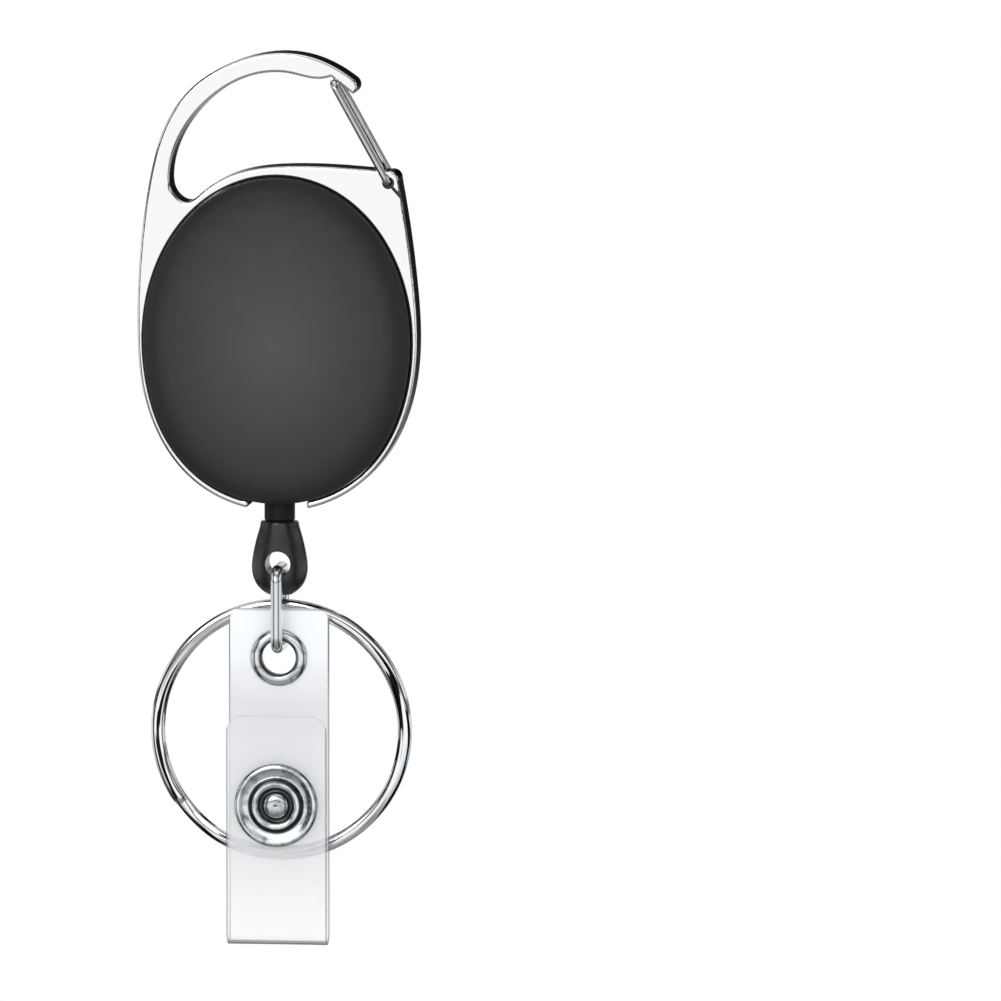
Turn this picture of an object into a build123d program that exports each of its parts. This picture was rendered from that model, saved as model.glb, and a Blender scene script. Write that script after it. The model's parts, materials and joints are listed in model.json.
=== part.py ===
"""Retractable badge reel: carabiner frame, domed body, sprung cord spool, badge strap and key ring.

The frame is +Z up with the reel hanging by its carabiner loop. The origin is the inside top of the loop,
X runs across the reel, and -Y is the front. Sizes are in millimetres.
"""

import os
from math import asin, cos, degrees, pi, radians, sin, sqrt

from build123d import *

# ---------------------------------------------------------------- driving dimensions

# body
BODY_Z = -30.6          # height of the body's centre, which is also the spool's axis
BODY_A = 15.3           # half width of the body
BODY_B = 18.7           # half height of the body
TOP_FULL = 0.005        # how much fuller than an ellipse the upper half is
LOW_FULL = 0.025        # and the lower half
DEPTH = 5.6             # from the parting plane to each dome's crown
DOME_R = 130.0
EDGE_R = 2.2            # rounding between a dome and the body's side
WALL = 1.2
REAR_INNER = 3.9        # the rear shell is thicker, to hold the belt clip's leg
FRONT_INNER = DEPTH - WALL

# moulded pins that join the shells
PIN_PLACES = [(-4.8, 14.5), (4.8, 14.5), (-4.8, -14.5), (8.3, -13.1)]   # about the body's centre
PIN_R = 0.68
PIN_REACH = 2.0
PIN_HOLE_R = 0.7
PIN_HOLE_DEPTH = 2.2
PIN_BOSS_R = 1.3
ROOT = 0.3              # how far bosses and pins run into the wall they stand on

# fits, each a gap on one side
HELD = 0.02             # a pin in its hole, or a barrel in a layer
MOVING = 0.05           # a part that turns or slides in another
TOUCHING = 0.01         # parts that sit against each other

# carabiner frame
FRAME_T = 4.4
FRAME_EDGE = 0.3
OPENING_GAP = 0.05      # between the body's side and the frame's opening
TONGUE_ROOT = 0.1       # how far the tongue runs into the frame
TONGUE = 0.85           # how far the frame's tongue reaches into the shells
TONGUE_T = 1.5
ARM_A = BODY_A + 0.75   # outer half width of the arms
ARM_B = BODY_B + 0.85
TIP_X = 3.4             # half the gap between the arm tips
TIP_R = 0.25            # rounding of the tips' corners

# wire gate
GATE_R = 0.4            # wire radius
GATE_Y = FRAME_T / 2 + MOVING + GATE_R
GATE_FOOT = (12.8, -12.4)
GATE_TOP = (6.5, -1.1)
GATE_PIN_END = 0.8      # the feet stop this far from the middle of the frame
GATE_BORE_R = GATE_R + MOVING
GATE_CORNER_R = 0.75
GATE_SINK_R = 0.7       # counterbore round the foot, where the wire bends into the bore
GATE_SINK_T = 0.4
GATE_GROOVE_W = 0.36    # shallow groove from the bore out to the shoulder's edge
GATE_GROOVE_T = 0.3
GATE_GROOVE_END = (14.5, -14.3)

# spool, arbor and spring
ARBOR_R = 2.0
ARBOR_FRONT = -3.3
ARBOR_REAR = 2.3
ARBOR_STUB_R = 1.55
ARBOR_STUB = 0.8        # length of the round stub in the front shell
ARBOR_SQUARE = 2.2
ARBOR_SQUARE_LENGTH = 1.25
ARBOR_SLOT = 0.35
BOSS_R = 3.2
BOSS_GAP = 0.1
END_PLAY = 0.05         # past the end of each arbor stub
DRUM_FRONT = -3.2
DRUM_REAR = 2.2
DRUM_WEB = 0.9
HUB_R = 9.4
HUB_INNER_R = 8.45
FLANGE_R = 13.2
FLANGE_T = 0.8
GROOVE = 2.6            # width between the flanges
WINDOWS = 6             # round windows in the rear flange
WINDOW_R = 1.1
WINDOW_CIRCLE_R = 11.4
CORD_SLOT_HALF = 0.45   # half the cord slot's width along Y
COVER_T = 0.65
COVER_STEP_R = 4.2      # the cover's middle is thinner inside this radius
COVER_STEP_T = 0.25
COVER_BEVEL = 0.3
COVER_HOLES = 3
COVER_HOLE_R = 0.9
COVER_HOLE_CIRCLE_R = 6.2
SPRING_T = 0.15
SPRING_TURNS = 9
SPRING_OUTER_R = 8.2
SPRING_W = 3.2
SPRING_START_GAP = 0.25     # between the arbor and the innermost turn
SPRING_TAB = 0.55       # how far the inner end reaches past the arbor's middle
SPRING_SIDE = 0.2       # room in the arbor's slot at each edge of the spring

# cord
CORD_D = 0.75
WOUND_R = 11.9          # outside of the wound cord
WINDS = 3               # turns side by side
LEAD_R = WOUND_R + CORD_D / 2 + 0.06    # the lead leaves just outside the winding

# cord guide
GUIDE_TOP = -47.0
GUIDE_BOTTOM = -51.35
GUIDE_R = 1.75
GUIDE_BORE_R = 0.7
GUIDE_COLLAR_R = 2.5
GUIDE_COLLAR_T = 0.8
GUIDE_FLARE = 1.4
GUIDE_MOUTH = 0.35      # bevel at the bore's lower mouth
GUIDE_EDGE = 0.15       # bevel at the nozzle's lower edge
LEAD_CORNER_Z = -47.6
LEAD_BEND_R = 2.0

# cord end fitting
FITTING_TOP = -51.4
FITTING_HOLE_Z = -56.25
FITTING_HOLE_R = 1.45
FITTING_BORE_R = 0.6
FITTING_FUNNEL = 1.25   # width and height of the funnel above the bore
FITTING_EDGE_R = 0.3
# height, half width and half depth of the bell, from its top down
FITTING_SECTIONS = [
    (FITTING_TOP, 2.2, 1.9),
    (-52.7, 2.45, 1.95),
    (-54.4, 2.9, 2.05),
    (-56.0, 3.18, 2.1),
    (-57.2, 3.2, 2.1),
    (-58.4, 2.87, 2.0),
    (-59.3, 2.2, 1.65),
    (-59.9, 1.35, 1.1),
]
KNOT_SEAT_Z = -53.4
KNOT_ROOM_R = 1.25
KNOT_R = 1.05
KNOT_H = 1.2
KNOT_TOP = KNOT_SEAT_Z - MOVING

# connecting link
LINK_WIRE_R = 0.67
LINK_Y = 3.07           # half the distance between the two legs' centres
LINK_TOP_Z = -57.0
LINK_BOTTOM_Z = -65.83
LINK_CORNER_R = 1.25

# badge strap
STRAP_W = 11.55
STRAP_T = 0.45
STRAP_TOP_Z = -61.45
STRAP_BACK_Y = -0.725   # middle of the back layer
FLAP_Y = -3.175         # middle of the flap
STRAP_BOTTOM_Z = -100.0
FLAP_TOP_Z = -73.6
STRAP_CORNER_R = 1.6
FLAP_CORNER_R = 1.8
FOLD_SPLIT = 0.03       # half the gap where the back and the flap part

# eyelet and snap
EYELET_HOLE_R = 1.95
EYELET_Z = LINK_BOTTOM_Z + LINK_WIRE_R + 0.03 - EYELET_HOLE_R   # it hangs on the link
EYELET_BARREL_R = 2.25
EYELET_R = 3.28
SNAP_Z = -83.8
SNAP_R = 4.75
STUD_KNOB_R = 1.35
SOCKET_ROOM_R = 1.5
POST_R = 0.9
POST_FLANGE_R = 4.0
STUD_FLANGE_R = 3.4

# key ring
RING_OD = 30.0
RING_RADIAL = 1.5
RING_COIL_T = 0.82
RING_COIL_GAP = 0.06
RING_TOP_Z = -60.6
RING_Y = 1.2
RING_WIRE_EDGE = 0.36
RING_CROSSING = 205.0   # where the wire crosses from the front coil to the rear one, clockwise from the top
RING_RAMP = 26.0
RING_END_GAP = 2.0      # between a coil's end and the ramp

# belt clip
CLIP_T = 0.5
CLIP_W = 6.2
CLIP_TIP_W = 5.95
CLIP_BEND_R = 1.3
CLIP_LEG_Y = 4.45       # the leg inside the rear shell
CLIP_BEND_Z = BODY_Z + 11.9
CLIP_LEG_Z = BODY_Z + 5.4
CLIP_CREASE = (5.95, BODY_Z - 4.7)
CLIP_TIP = (7.7, BODY_Z - 10.4)
CLIP_SPLIT = 5.0        # degrees each side of the bend's top, where the two legs part
CLIP_CREASE_R = 1.2
CLIP_TIP_RISE = 1.2     # height of the tip's rounded end
SLOT_W = 6.6
POCKET_Z = (5.2, 12.5)  # the leg's pocket, from the body's centre
SLOT_Z = (11.7, 14.3)   # the slot that the bend comes out of


# ---------------------------------------------------------------- helpers


def outline_point(half_w, half_h, angle):
    """A point on the body's outline, about its centre; angle is measured from straight down."""
    full = TOP_FULL if cos(angle) < 0 else LOW_FULL
    reach = 1 + full * sin(2 * angle) ** 2
    return half_w * reach * sin(angle), -half_h * reach * cos(angle)


def egg(grow=0.0, steps=32):
    """The body's outline, grown all round, as a face about the body's centre."""
    turn = [2 * pi * i / steps for i in range(steps)]
    points = [outline_point(BODY_A + grow, BODY_B + grow, a) for a in turn]
    return make_face(Spline(*points, periodic=True))


def slab(face, y_low, y_high):
    """A face drawn in X and Z, made into a plate between two Y values."""
    return Pos(0, y_high, 0) * extrude(Plane.XZ * face, amount=y_high - y_low)


def turned_y(points, z=0.0):
    """A solid of revolution about a Y axis at height z, from (radius, Y) points."""
    return Pos(0, 0, z) * revolve(make_face(Polyline(*points, close=True)), Axis.Y)


def turned_z(points):
    """A solid of revolution about the Z axis, from (radius, Z) points."""
    return revolve(Plane.XZ * make_face(Polyline(*points, close=True)), Axis.Z)


def bar_y(radius, y_low, y_high, x=0.0, z=0.0):
    """A round bar along Y."""
    return Pos(0, y_high, 0) * extrude(Plane.XZ * Pos(x, z) * Circle(radius), amount=y_high - y_low)


def block(x0, x1, y0, y1, z0, z1):
    """A box between its two corners."""
    return Pos((x0 + x1) / 2, (y0 + y1) / 2, (z0 + z1) / 2) * Box(x1 - x0, y1 - y0, z1 - z0)


def half_body(side, depth, grow, edge_r):
    """One half of the body's solid, domed outwards; side is -1 for the front and 1 for the rear."""
    y_low, y_high = sorted((0.0, side * depth))
    half = slab(egg(grow), y_low, y_high)
    half &= Pos(0, side * (depth - DOME_R), 0) * Sphere(DOME_R)
    rim = [e for e in half.edges() if abs(e.center().Y) > depth / 2 and e.length > BODY_A]
    return fillet(rim, edge_r)


# ---------------------------------------------------------------- carabiner frame


def frame_outline():
    """The silhouette of the loop, hook and arms, closed across the body."""
    low = radians(10)
    arm = [low + (pi / 2 - low) * i / 6 for i in range(7)]
    left_arm = [outline_point(ARM_A, ARM_B, -a) for a in arm]
    left_arm = [(x, z + BODY_Z) for x, z in left_arm]
    right_arm = [(-x, z) for x, z in left_arm]
    left_side = [(-15.55, -18.6), (-14.45, -11.4), (-12.55, -5.5), (-9.6, -1.6), (-5.4, 1.0)]
    top = [(0.3, 2.3), (4.0, 1.85), (7.2, 0.45)]
    outer = Spline(*left_arm, *left_side, *top, (8.75, -0.6))
    nose = ThreePointArc((8.75, -0.6), (9.2, -1.55), (8.75, -2.3))
    nose_face = Line((8.75, -2.3), (6.25, -0.35))
    under = [(4.1, -0.6), (1.6, -0.05), (-3.0, -0.35), (-7.6, -2.95), (-11.05, -7.2), (-12.35, -11.6)]
    toe = [(-11.9, -13.9), (-10.4, -14.85), (-8.7, -13.8), (-4.4, -11.4), (1.5, -10.6), (7.2, -10.7)]
    inner = Spline((6.25, -0.35), *under, *toe, (12.7, -11.1))
    shoulder = ThreePointArc((12.7, -11.1), (13.65, -11.35), (13.95, -12.1))
    right_side = Spline((13.95, -12.1), (14.95, -18.1), (15.65, -23.8), *reversed(right_arm))
    chord = Line(right_arm[0], left_arm[0])
    return make_face([outer, nose, nose_face, inner, shoulder, right_side, chord])


def gate_sinks():
    """In each face of the shoulder: the counterbore round a foot and the groove that runs out of it."""
    foot = Vector(*GATE_FOOT)
    groove = trace(Line(foot, GATE_GROOVE_END), GATE_GROOVE_W)
    half = FRAME_T / 2
    cuts = Part()
    for side in (-1, 1):
        low, high = sorted((side * (half - GATE_GROOVE_T), side * (half + 1)))
        cuts += slab(groove, low, high)
        low, high = sorted((side * (half - GATE_SINK_T), side * (half + 1)))
        cuts += bar_y(GATE_SINK_R, low, high, *GATE_FOOT)
    return cuts


def carabiner_frame():
    half = FRAME_T / 2
    plan = frame_outline()
    plan -= Pos(0, BODY_Z) * egg(OPENING_GAP)
    plan -= Pos(0, BODY_Z - BODY_B) * Rectangle(2 * TIP_X, BODY_B)
    plate = slab(plan, -half, half)
    near_tip = TIP_R / 5
    tips = [e for e in plate.edges().filter_by(Axis.Y) if abs(abs(e.center().X) - TIP_X) < near_tip]
    plate = fillet(tips, TIP_R)
    flats = plate.faces().filter_by(Axis.Y)
    plate = fillet([e for f in flats for e in f.edges()], FRAME_EDGE)
    tongue = Pos(0, BODY_Z) * (egg(OPENING_GAP + TONGUE_ROOT) - egg(-TONGUE))
    tongue -= Pos(0, BODY_Z - BODY_B) * Rectangle(2 * TIP_X + 0.6, BODY_B)
    plate += slab(tongue, -TONGUE_T / 2, TONGUE_T / 2)
    return plate - gate_sinks() - bar_y(GATE_BORE_R, -half, half, *GATE_FOOT)


def wire_gate():
    """A hairpin of wire whose two feet turn in one cross bore of the frame."""
    fx, fz = GATE_FOOT
    tx, tz = GATE_TOP
    corners = [
        (fx, -GATE_PIN_END, fz),
        (fx, -GATE_Y, fz),
        (tx, -GATE_Y, tz),
        (tx, GATE_Y, tz),
        (fx, GATE_Y, fz),
        (fx, GATE_PIN_END, fz),
    ]
    path = FilletPolyline(*corners, radius=GATE_CORNER_R)
    return sweep(Plane(path @ 0, z_dir=path % 0) * Circle(GATE_R), path=path)


# ---------------------------------------------------------------- shells


def tongue_groove():
    """The groove round the shells' rims that the frame's tongue lies in."""
    half = TONGUE_T / 2 + MOVING
    ring = egg(1.0) - egg(-TONGUE - MOVING)
    ring -= Pos(0, -BODY_B) * Rectangle(2 * TIP_X + 0.4, BODY_B)
    return slab(ring, -half, half)


def neck_hole():
    return Pos(0, 0, -BODY_B) * Cylinder(GUIDE_R + 0.03, 6.0)


def front_shell():
    shell = half_body(-1, DEPTH, 0, EDGE_R) - half_body(-1, FRONT_INNER, -WALL, 1.0)
    shell += bar_y(BOSS_R, -FRONT_INNER - ROOT, ARBOR_FRONT - BOSS_GAP)
    shell -= bar_y(ARBOR_STUB_R + HELD, ARBOR_FRONT - ARBOR_STUB - END_PLAY, 0)
    for x, z in PIN_PLACES:
        shell += bar_y(PIN_BOSS_R, -FRONT_INNER + ROOT, 0, x, z)
        shell -= bar_y(PIN_HOLE_R, -PIN_HOLE_DEPTH, 0, x, z)
    shell = shell - tongue_groove() - neck_hole()
    return Pos(0, 0, BODY_Z) * shell


def rear_shell():
    shell = half_body(1, DEPTH, 0, EDGE_R) - half_body(1, REAR_INNER, -WALL, 1.0)
    shell += bar_y(BOSS_R, ARBOR_REAR + BOSS_GAP, REAR_INNER + ROOT)
    side = ARBOR_SQUARE / 2 + HELD
    shell -= block(-side, side, 0, ARBOR_REAR + ARBOR_SQUARE_LENGTH + END_PLAY, -side, side)
    for x, z in PIN_PLACES:
        shell += bar_y(PIN_BOSS_R, 0, REAR_INNER - ROOT, x, z)
        shell += bar_y(PIN_R, -PIN_REACH, ROOT, x, z)
    shell = shell - tongue_groove() - neck_hole()
    half = SLOT_W / 2
    room = CLIP_T / 2 + MOVING
    shell -= block(-half, half, CLIP_LEG_Y - room, CLIP_LEG_Y + room, *POCKET_Z)
    shell -= block(-half, half, CLIP_LEG_Y - room, DEPTH + 1, *SLOT_Z)
    return Pos(0, 0, BODY_Z) * shell


# ---------------------------------------------------------------- arbor, spool, spring


def spring_arbor():
    """The fixed pin that the spool turns on; its slot holds the power spring's inner end."""
    pin = bar_y(ARBOR_R, ARBOR_FRONT, ARBOR_REAR)
    pin += bar_y(ARBOR_STUB_R, ARBOR_FRONT - ARBOR_STUB, ARBOR_FRONT)
    side = ARBOR_SQUARE / 2
    pin += block(-side, side, ARBOR_REAR, ARBOR_REAR + ARBOR_SQUARE_LENGTH, -side, side)
    half = ARBOR_SLOT / 2
    spring_room = SPRING_W / 2 + SPRING_SIDE
    middle = spring_middle()
    pin -= block(-ARBOR_R, ARBOR_R, middle - spring_room, middle + spring_room, -half, half)
    return Pos(0, 0, BODY_Z) * pin


def spring_middle():
    """Y of the middle of the spring's room in the drum."""
    return (DRUM_FRONT + DRUM_WEB + DRUM_REAR - COVER_T) / 2


def spool_drum():
    bore = ARBOR_R + MOVING
    half = GROOVE / 2
    profile = [
        (bore, DRUM_FRONT),
        (HUB_R, DRUM_FRONT),
        (HUB_R, -half - FLANGE_T),
        (FLANGE_R, -half - FLANGE_T),
        (FLANGE_R, -half),
        (HUB_R, -half),
        (HUB_R, half),
        (FLANGE_R, half),
        (FLANGE_R, half + FLANGE_T),
        (HUB_R, half + FLANGE_T),
        (HUB_R, DRUM_REAR),
        (HUB_INNER_R, DRUM_REAR),
        (HUB_INNER_R, DRUM_FRONT + DRUM_WEB),
        (bore, DRUM_FRONT + DRUM_WEB),
    ]
    drum = turned_y(profile)
    for spot in PolarLocations(WINDOW_CIRCLE_R, WINDOWS):
        centre = spot.position
        drum -= bar_y(WINDOW_R, half - 0.1, half + FLANGE_T + 0.1, centre.X, centre.Y)
    side = CORD_D / 2 + MOVING
    drum -= block(-side, side, -CORD_SLOT_HALF, CORD_SLOT_HALF, HUB_INNER_R - 0.2, HUB_R + 0.2)
    return Pos(0, 0, BODY_Z) * drum


def spring_cover():
    """The disc pressed into the drum's open side, which keeps the spring in."""
    bore = ARBOR_R + MOVING
    edge = HUB_INNER_R - TOUCHING
    front = DRUM_REAR - COVER_T
    step = DRUM_REAR - COVER_STEP_T
    profile = [
        (bore, front),
        (edge, front),
        (edge, DRUM_REAR),
        (COVER_STEP_R, DRUM_REAR),
        (COVER_STEP_R - COVER_BEVEL, step),
        (bore, step),
    ]
    disc = turned_y(profile, BODY_Z)
    for spot in PolarLocations(COVER_HOLE_CIRCLE_R, COVER_HOLES):
        centre = spot.position
        disc -= bar_y(COVER_HOLE_R, front, DRUM_REAR, centre.X, BODY_Z + centre.Y)
    return disc


def power_spring():
    """A flat spiral strip at rest, its turns crowded towards the drum's wall."""
    steps = 20 * SPRING_TURNS
    start_r = ARBOR_R + SPRING_START_GAP

    def spiral(shift):
        points = []
        for i in range(steps + 1):
            part = i / steps
            radius = start_r + (SPRING_OUTER_R - SPRING_T / 2 - start_r) * sqrt(part) + shift
            angle = 2 * pi * SPRING_TURNS * part
            points.append((radius * cos(angle), radius * sin(angle)))
        return points

    half = SPRING_T / 2
    inside = spiral(-half)
    outside = spiral(half)
    strip = make_face([
        Spline(*outside),
        Line(outside[-1], inside[-1]),
        Spline(*inside),
        Line(inside[0], outside[0]),
    ])
    strip += Pos(start_r / 2 - SPRING_TAB, 0) * Rectangle(start_r + 2 * SPRING_TAB, SPRING_T)
    middle = spring_middle()
    return Pos(0, 0, BODY_Z) * slab(strip, middle - SPRING_W / 2, middle + SPRING_W / 2)


def cord_winding():
    """The wound cord as one ring, its outside ribbed by the turns that lie side by side."""
    half = GROOVE / 2 - TOUCHING
    pitch = 2 * half / WINDS
    shoulder = WOUND_R - GROOVE / WINDS / 2
    ribs = []
    for i in range(WINDS):
        low = i * pitch - half
        high = low + pitch
        ribs.append(ThreePointArc((shoulder, low), (WOUND_R, (low + high) / 2), (shoulder, high)))
    foot = HUB_R + TOUCHING
    sides = Polyline(ribs[-1] @ 1, (foot, half), (foot, -half), ribs[0] @ 0)
    return Pos(0, 0, BODY_Z) * revolve(make_face([*ribs, sides]), Axis.Y)


# ---------------------------------------------------------------- cord, guide, fitting


def cord_lead():
    """The cord from the winding, round the guide's flared mouth and down to its knot."""
    drop = BODY_Z - LEAD_CORNER_Z
    lean = asin(LEAD_R / drop)
    run = sqrt(drop**2 - LEAD_R**2)
    leave = (run * sin(lean), 0, LEAD_CORNER_Z + run * cos(lean))
    path = FilletPolyline(leave, (0, 0, LEAD_CORNER_Z), (0, 0, KNOT_TOP), radius=LEAD_BEND_R)
    print(f"cord lead: one bend of {LEAD_BEND_R} mm through {degrees(lean):.0f} degrees")
    return sweep(Plane(path @ 0, z_dir=path % 0) * Circle(CORD_D / 2), path=path)


def cord_knot():
    """The stopper knot, drawn tight into a round bead under the fitting's bore."""
    bead = Ellipse(KNOT_R, KNOT_H / 2 + 0.06) & Pos(KNOT_R, 0) * Rectangle(2 * KNOT_R, KNOT_H)
    return revolve(Plane.XZ * Pos(0, KNOT_TOP - KNOT_H / 2) * bead, Axis.Z)


def cord_guide():
    """The nozzle that the cord runs out through; its collar sits inside the shells."""
    flare = ThreePointArc(
        (GUIDE_BORE_R + GUIDE_FLARE, GUIDE_TOP),
        (GUIDE_BORE_R + GUIDE_FLARE * (1 - cos(pi / 4)), GUIDE_TOP - GUIDE_FLARE * (1 - sin(pi / 4))),
        (GUIDE_BORE_R, GUIDE_TOP - GUIDE_FLARE),
    )
    outside = Polyline(
        flare @ 1,
        (GUIDE_BORE_R, GUIDE_BOTTOM + GUIDE_MOUTH),
        (GUIDE_BORE_R + GUIDE_MOUTH, GUIDE_BOTTOM),
        (GUIDE_R - GUIDE_EDGE, GUIDE_BOTTOM),
        (GUIDE_R, GUIDE_BOTTOM + GUIDE_EDGE),
        (GUIDE_R, GUIDE_TOP - GUIDE_COLLAR_T),
        (GUIDE_COLLAR_R, GUIDE_TOP - GUIDE_COLLAR_T),
        (GUIDE_COLLAR_R, GUIDE_TOP),
        flare @ 0,
    )
    return revolve(Plane.XZ * make_face([flare, outside]), Axis.Z)


def cord_end_fitting():
    """A flattened bell with a cross hole for the link and a room for the knot above it."""
    rings = [Pos(0, 0, z) * Ellipse(half_w, half_d) for z, half_w, half_d in FITTING_SECTIONS]
    bell = loft(rings)
    bell = fillet(bell.edges().group_by(Axis.Z)[-1], FITTING_EDGE_R)
    bell = fillet(bell.edges().group_by(Axis.Z)[0], FITTING_EDGE_R)
    bell -= bar_y(FITTING_HOLE_R, -4, 4, 0, FITTING_HOLE_Z)
    bell -= turned_z([
        (0, FITTING_TOP + 1),
        (FITTING_BORE_R + FITTING_FUNNEL, FITTING_TOP + 1),
        (FITTING_BORE_R, FITTING_TOP + 1 - FITTING_FUNNEL),
        (FITTING_BORE_R, KNOT_SEAT_Z),
        (KNOT_ROOM_R, KNOT_SEAT_Z),
        (KNOT_ROOM_R, FITTING_HOLE_Z),
        (0, FITTING_HOLE_Z),
    ])
    return bell


def connecting_link():
    """A rounded rectangle of wire through the fitting's hole and the strap's eyelet."""
    height = LINK_TOP_Z - LINK_BOTTOM_Z
    middle = (LINK_TOP_Z + LINK_BOTTOM_Z) / 2
    loop = Plane.YZ * Pos(0, middle) * RectangleRounded(2 * LINK_Y, height, LINK_CORNER_R)
    path = loop.face().outer_wire()
    return sweep(Plane(path @ 0, z_dir=path % 0) * Circle(LINK_WIRE_R), path=path)


# ---------------------------------------------------------------- badge strap


def fold_radius():
    return (STRAP_BACK_Y - FLAP_Y) / 2


def fold_centre():
    """(Y, Z) of the middle of the strap's fold."""
    return (STRAP_BACK_Y + FLAP_Y) / 2, STRAP_BOTTOM_Z + fold_radius() + STRAP_T / 2


def rounded_top(width, low, high, corner_r):
    """A plan with its two upper corners rounded."""
    plan = Pos(0, (low + high) / 2) * Rectangle(width, high - low)
    return fillet(plan.vertices().group_by(Axis.Y)[-1], corner_r)


def strap_layer(line, low, high, corner_r, middle_y):
    """A strip of vinyl that follows a side profile and has rounded upper corners."""
    strip = extrude(Plane.YZ * trace(line, STRAP_T), amount=STRAP_W / 2, both=True)
    return strip & slab(rounded_top(STRAP_W, low, high, corner_r), middle_y - 3, middle_y + 3)


def strap_back():
    y, z = fold_centre()
    line = Line((STRAP_BACK_Y, STRAP_TOP_Z), (STRAP_BACK_Y, z))
    line += CenterArc((y, z), fold_radius(), 0, -90)
    back = strap_layer(line, STRAP_BOTTOM_Z - 1, STRAP_TOP_Z, STRAP_CORNER_R, y)
    back -= block(-STRAP_W, STRAP_W, y - 1, y + FOLD_SPLIT, STRAP_BOTTOM_Z - 1, z)
    back -= bar_y(EYELET_BARREL_R + HELD, -3, 3, 0, EYELET_Z)
    return back - bar_y(POST_R + HELD, -3, 3, 0, SNAP_Z)


def strap_flap():
    y, z = fold_centre()
    line = CenterArc((y, z), fold_radius(), -90, -90)
    line += Line((FLAP_Y, z), (FLAP_Y, FLAP_TOP_Z))
    flap = strap_layer(line, STRAP_BOTTOM_Z - 1, FLAP_TOP_Z, FLAP_CORNER_R, y)
    flap -= block(-STRAP_W, STRAP_W, y - FOLD_SPLIT, y + 1, STRAP_BOTTOM_Z - 1, z)
    return flap - bar_y(POST_R + HELD, -6, 3, 0, SNAP_Z)


def back_front_y():
    return STRAP_BACK_Y - STRAP_T / 2


def back_rear_y():
    return STRAP_BACK_Y + STRAP_T / 2


def flap_front_y():
    return FLAP_Y - STRAP_T / 2


def flap_rear_y():
    return FLAP_Y + STRAP_T / 2


def strap_eyelet():
    """The eyelet: a barrel through the strap with a rolled flange in front."""
    front = back_front_y()
    rear = back_rear_y()
    roll = ThreePointArc((EYELET_HOLE_R, front - 0.1), (2.45, front - 0.5), (EYELET_R, front - 0.1))
    rest = Polyline(
        (EYELET_R, front - 0.1),
        (EYELET_R - 0.05, front),
        (EYELET_BARREL_R, front),
        (EYELET_BARREL_R, rear + 0.3),
        (EYELET_HOLE_R, rear + 0.3),
        (EYELET_HOLE_R, front - 0.1),
    )
    return Pos(0, 0, EYELET_Z) * revolve(make_face([roll, rest]), Axis.Y)


def eyelet_washer():
    """The washer that the eyelet's barrel is rolled over behind the strap."""
    rear = back_rear_y()
    bore = EYELET_BARREL_R + TOUCHING
    edge = EYELET_R - 0.1
    ring = ThreePointArc((bore, rear + 0.25), (2.7, rear + 0.42), (edge, rear + 0.05))
    rest = Polyline(ring @ 1, (edge, rear), (bore, rear), ring @ 0)
    return Pos(0, 0, EYELET_Z) * revolve(make_face([ring, rest]), Axis.Y)


def snap_cap():
    """The front of the snap: a rolled rim, a sunk ring, a raised ring and a domed centre."""
    face = flap_front_y()
    rim = ThreePointArc((SNAP_R, face - 0.12), (4.35, face - 0.62), (3.75, face - 0.32))
    step = Polyline(rim @ 1, (3.2, face - 0.28), (3.05, face - 0.5), (2.85, face - 0.62), (2.2, face - 0.62))
    dip = Polyline(step @ 1, (2.0, face - 0.35), (1.5, face - 0.3))
    crown = Spline(dip @ 1, (0.8, face - 0.72), (0, face - 0.88), tangents=[(-0.8, -0.6), (-1, 0)])
    inner = flap_rear_y() + 0.25
    rest = Polyline(crown @ 1, (0, inner), (POST_R, inner), (POST_R, face), (SNAP_R - 0.1, face), rim @ 0)
    return Pos(0, 0, SNAP_Z) * revolve(make_face([rim, step, dip, crown, rest]), Axis.Y)


def snap_socket():
    """The socket behind the flap, rolled over the cap's barrel."""
    face = flap_rear_y()
    return turned_y(
        [
            (POST_R + TOUCHING, face),
            (4.1, face),
            (4.1, face + 0.3),
            (2.9, face + 0.4),
            (2.6, face + 1.35),
            (SOCKET_ROOM_R, face + 1.35),
            (SOCKET_ROOM_R, face + 0.35),
            (POST_R + TOUCHING, face + 0.35),
        ],
        SNAP_Z,
    )


def snap_stud():
    """The stud on the back layer, whose knob the socket grips."""
    face = back_front_y()
    return turned_y(
        [
            (POST_R + TOUCHING, face),
            (STUD_FLANGE_R, face),
            (STUD_FLANGE_R, face - 0.3),
            (STUD_KNOB_R - 0.1, face - 0.4),
            (STUD_KNOB_R, face - 1.1),
            (STUD_KNOB_R - 0.3, face - 1.4),
            (POST_R + TOUCHING, face - 1.4),
        ],
        SNAP_Z,
    )


def snap_post():
    """The post behind the back layer, which rivets the stud on."""
    rear = back_rear_y()
    return turned_y(
        [
            (0, rear + 0.42),
            (2.9, rear + 0.38),
            (POST_FLANGE_R, rear + 0.15),
            (POST_FLANGE_R, rear),
            (POST_R, rear),
            (POST_R, back_front_y() - 1.3),
            (0, back_front_y() - 1.3),
        ],
        SNAP_Z,
    )


# ---------------------------------------------------------------- key ring and belt clip


def ring_section(angle, rise):
    """The ring wire's section at an angle in degrees from straight up, about the ring's middle."""
    middle_r = (RING_OD - RING_RADIAL) / 2
    turn = radians(angle)
    place = Plane(
        (middle_r * sin(turn), rise, middle_r * cos(turn)),
        x_dir=(0, 1, 0),
        z_dir=(cos(turn), 0, -sin(turn)),
    )
    return place * RectangleRounded(RING_COIL_T, RING_RADIAL, RING_WIRE_EDGE)


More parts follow.
